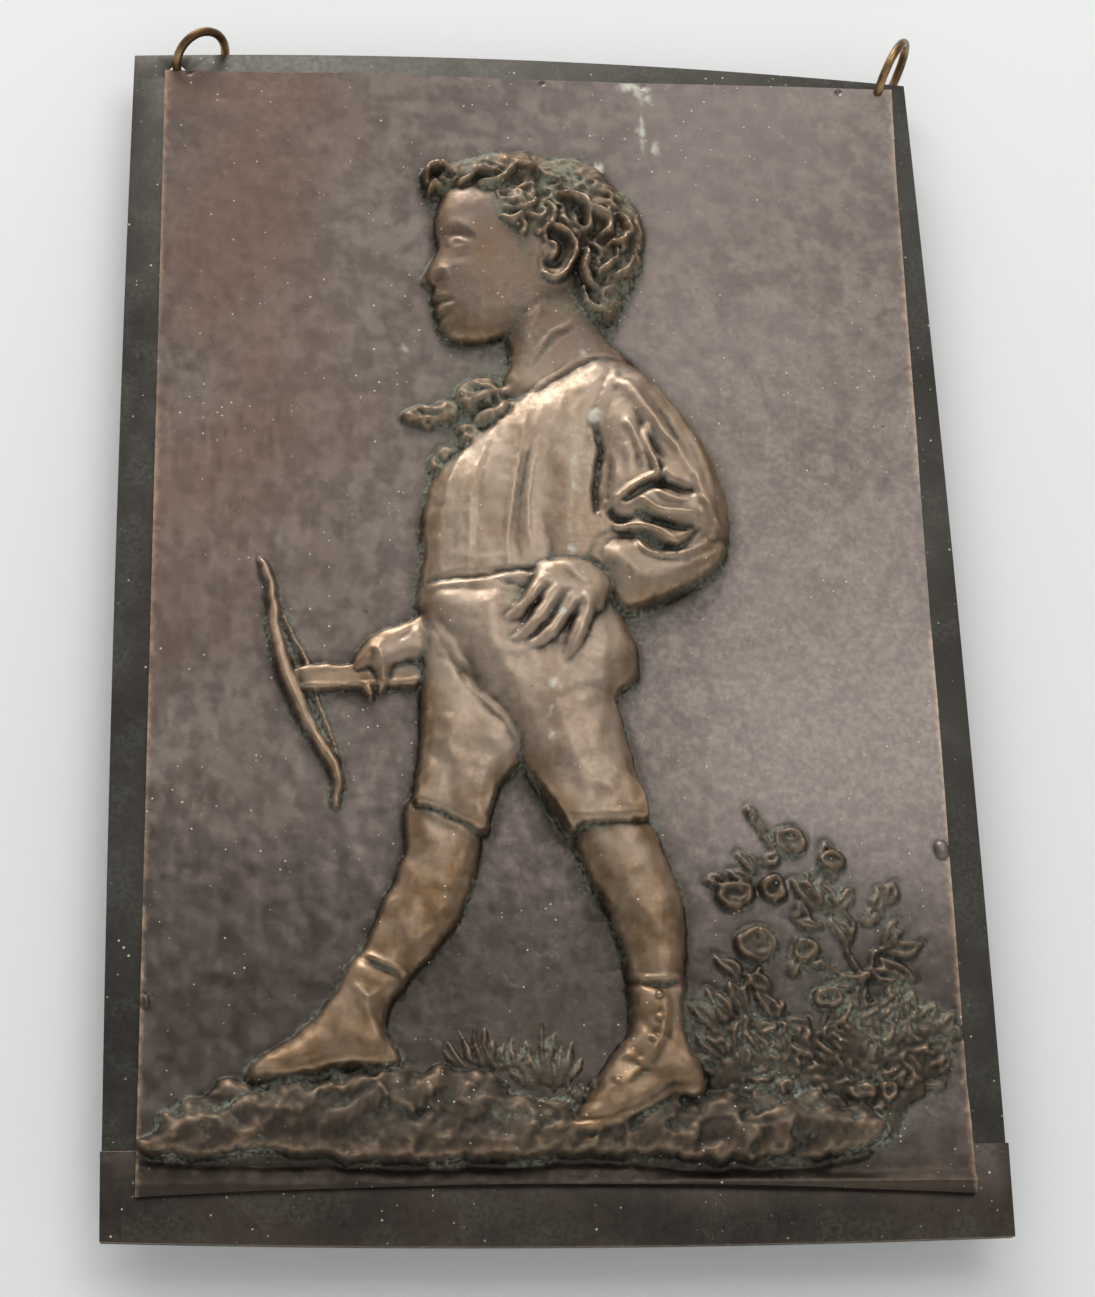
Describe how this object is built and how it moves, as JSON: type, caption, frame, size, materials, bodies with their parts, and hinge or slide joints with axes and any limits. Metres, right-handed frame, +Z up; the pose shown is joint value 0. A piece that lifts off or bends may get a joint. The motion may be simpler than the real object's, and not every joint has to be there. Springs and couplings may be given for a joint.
{
  "type": "relief plaque",
  "caption": "Upright embossed metal wall plaque of a child in profile walking with a toy crossbow, on a backing sheet with two wire hanging rings.",
  "frame": {"origin": "centre of the backing sheet's rear face, which faces the wall", "axes": "+Z up the plaque, -Y out of the embossed front, +X to the viewer's right"},
  "size_m": [0.2027, 0.023, 0.3145],
  "materials": {
    "embossed_sheet": "dark brown patina, rubbed golden on the raised forms",
    "backing": "dark greenish grey patina",
    "strip": "dark greenish grey patina",
    "ring_wire": "worn brown brass wire"
  },
  "bodies": {
    "root": {"relief_panel": "embossed_sheet", "backing_sheet": "backing", "bottom_strip": "strip", "ring_left": "ring_wire", "ring_right": "ring_wire"}
  },
  "joints": []
}
